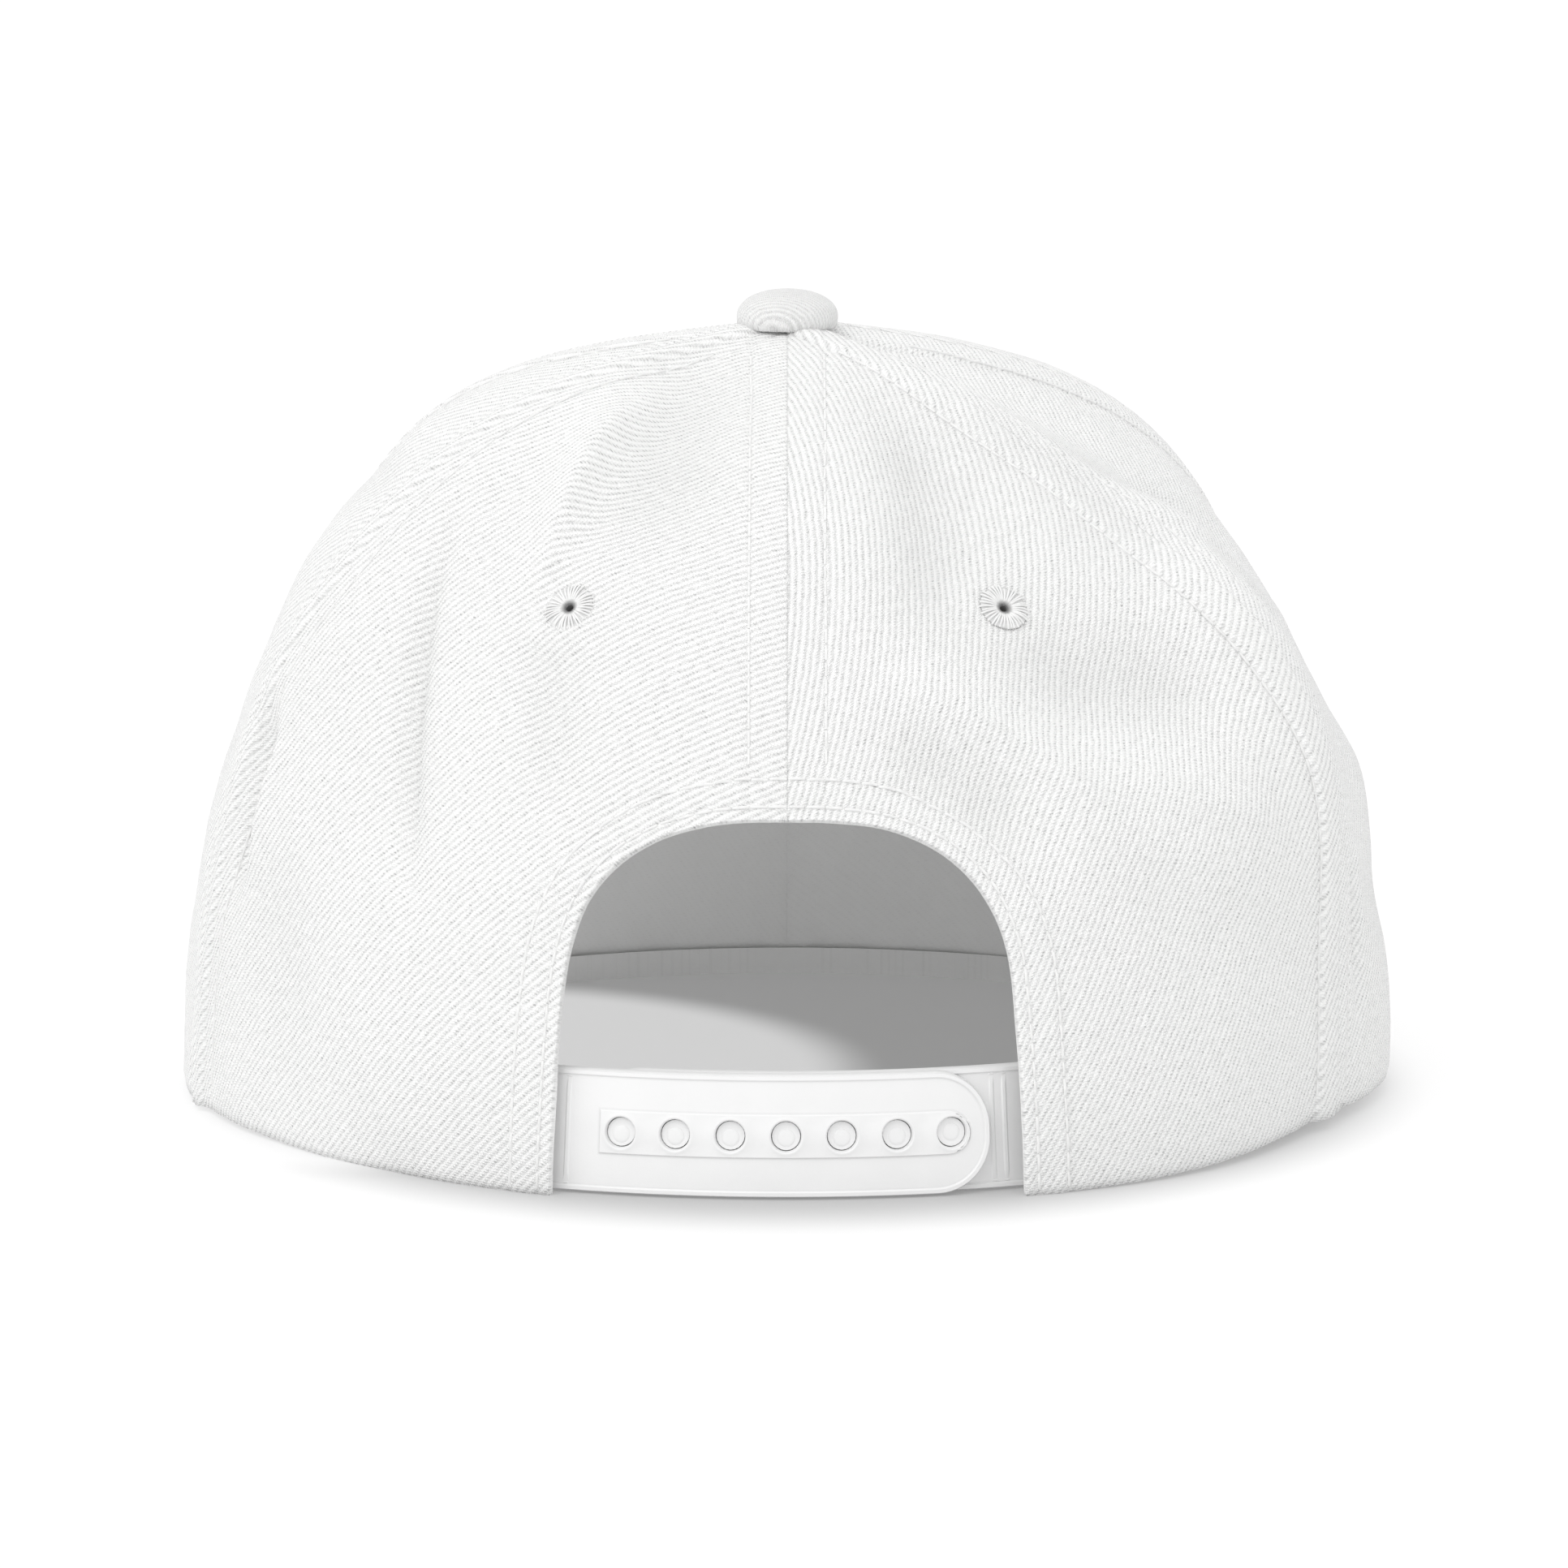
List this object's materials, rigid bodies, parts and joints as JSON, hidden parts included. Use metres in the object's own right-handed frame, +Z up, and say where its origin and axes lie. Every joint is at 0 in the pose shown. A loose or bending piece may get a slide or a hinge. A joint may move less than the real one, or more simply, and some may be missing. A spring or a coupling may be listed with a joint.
{
  "type": "snapback cap",
  "caption": "White panelled snapback cap with a flat visor, covered top button, sewn eyelets and an arched back opening closed by a two-part plastic snap strap.",
  "frame": {"origin": "On the surface that the cap rests on, under the middle of the box round the cap. The button's upright axis is at Y = +0.0351 m.", "axes": "+Z is up through the button, +Y points to the back of the head where the snap strap is, -Y to the visor, +X to the wearer's left."},
  "size_m": [0.1832, 0.2472, 0.1211],
  "materials": {
    "twill": "white cotton twill, matte",
    "thread": "white embroidery thread",
    "strap_plastic": "white moulded plastic, satin"
  },
  "bodies": {
    "root": {"panel_back_left": "twill", "panel_back_right": "twill", "panel_side_left": "twill", "panel_side_right": "twill", "panel_front_left": "twill", "panel_front_right": "twill", "visor": "twill", "top_button": "twill", "eyelet_back_left": "thread", "eyelet_back_right": "thread", "eyelet_side_left": "thread", "eyelet_side_right": "thread", "eyelet_front_left": "thread", "eyelet_front_right": "thread", "strap_left": "strap_plastic", "strap_right": "strap_plastic"}
  },
  "joints": []
}
